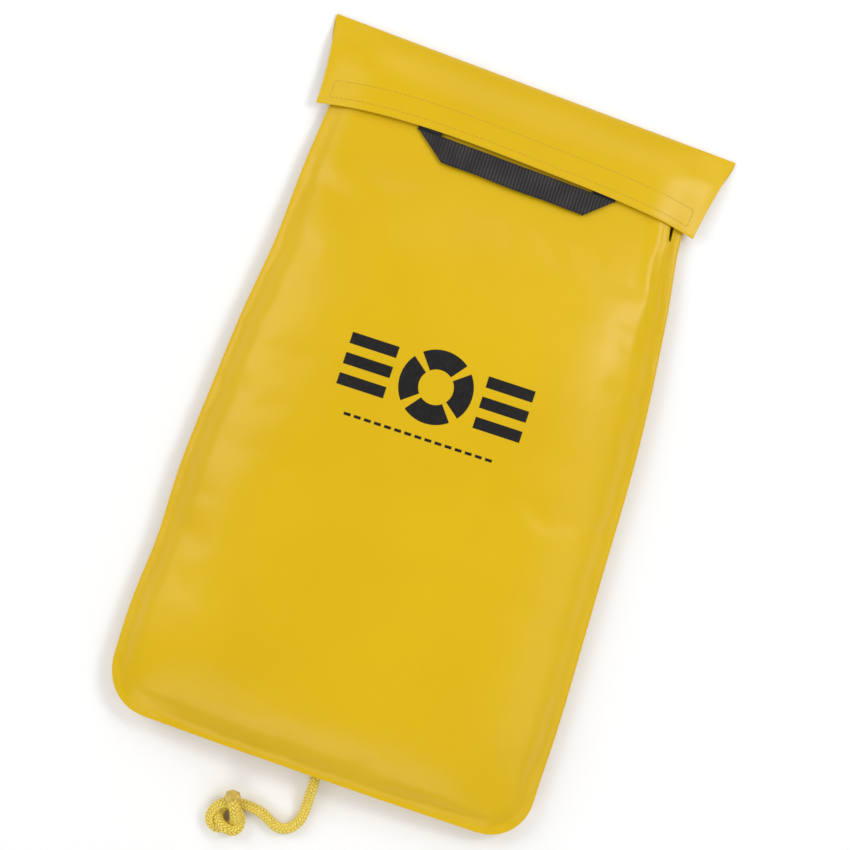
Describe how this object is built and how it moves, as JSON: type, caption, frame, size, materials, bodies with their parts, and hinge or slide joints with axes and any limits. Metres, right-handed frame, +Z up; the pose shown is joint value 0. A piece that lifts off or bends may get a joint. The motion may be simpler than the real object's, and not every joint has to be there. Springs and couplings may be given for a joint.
{
  "type": "throw rope bag",
  "caption": "Flat stuffed PVC bag with a fold-over closing flap, a webbing grab handle and a floating rescue line whose knotted tail leaves through an eyelet in the bottom end.",
  "frame": {"origin": "centre of the footprint of the bag without its rope tail, on the ground it lies on", "axes": "+X across the bag, +Y from the bottom end towards the fold that the flap turns on, +Z up out of the front panel"},
  "size_m": [0.3549, 0.6245, 0.0521],
  "materials": {
    "coated_fabric": "semi-gloss yellow PVC-coated polyester, smooth with a faint scrim",
    "closure_tape": "matt black hook-and-loop tape",
    "webbing": "ribbed black polyester webbing",
    "thread": "yellow polyester thread",
    "nickel": "nickel-plated brass",
    "foam": "closed-cell foam with a fine skin",
    "rope": "braided golden-yellow floating rope with pale worn highlights"
  },
  "bodies": {
    "bag_body": {"back_panel": "coated_fabric", "front_panel": "coated_fabric", "mouth_hem": "coated_fabric", "loop_tape": "closure_tape", "handle_leg_left": "webbing", "handle_leg_right": "webbing", "handle_tack_left": "thread", "handle_tack_right": "thread", "rope_eyelet": "nickel", "eyelet_washer": "nickel", "foam_float": "foam", "rope_hank": "rope", "hand_loop": "rope"},
    "flap": {"closing_flap": "coated_fabric", "hook_tape": "closure_tape", "flap_stitching": "thread"},
    "handle": {"grab_handle": "webbing"},
    "rope_end": {"rope_tail": "rope", "stopper_knot": "rope", "inner_knot": "rope"}
  },
  "joints": [
    {"name": "flap_fold", "type": "hinge", "parent": "bag_body", "child": "flap", "pos_m": [0, 0.28116, 0.00115], "axis": [-1, 0, 0], "range_deg": [0, 140]},
    {"name": "handle_lift", "type": "hinge", "parent": "bag_body", "child": "handle", "pos_m": [-0.0078, 0.2186, 0.0176], "axis": [-1, 0, 0], "range_deg": [0, 16]},
    {"name": "tail_slide", "type": "slide", "parent": "bag_body", "child": "rope_end", "axis": [0, -1, 0], "range_m": [0, 0.018]}
  ]
}
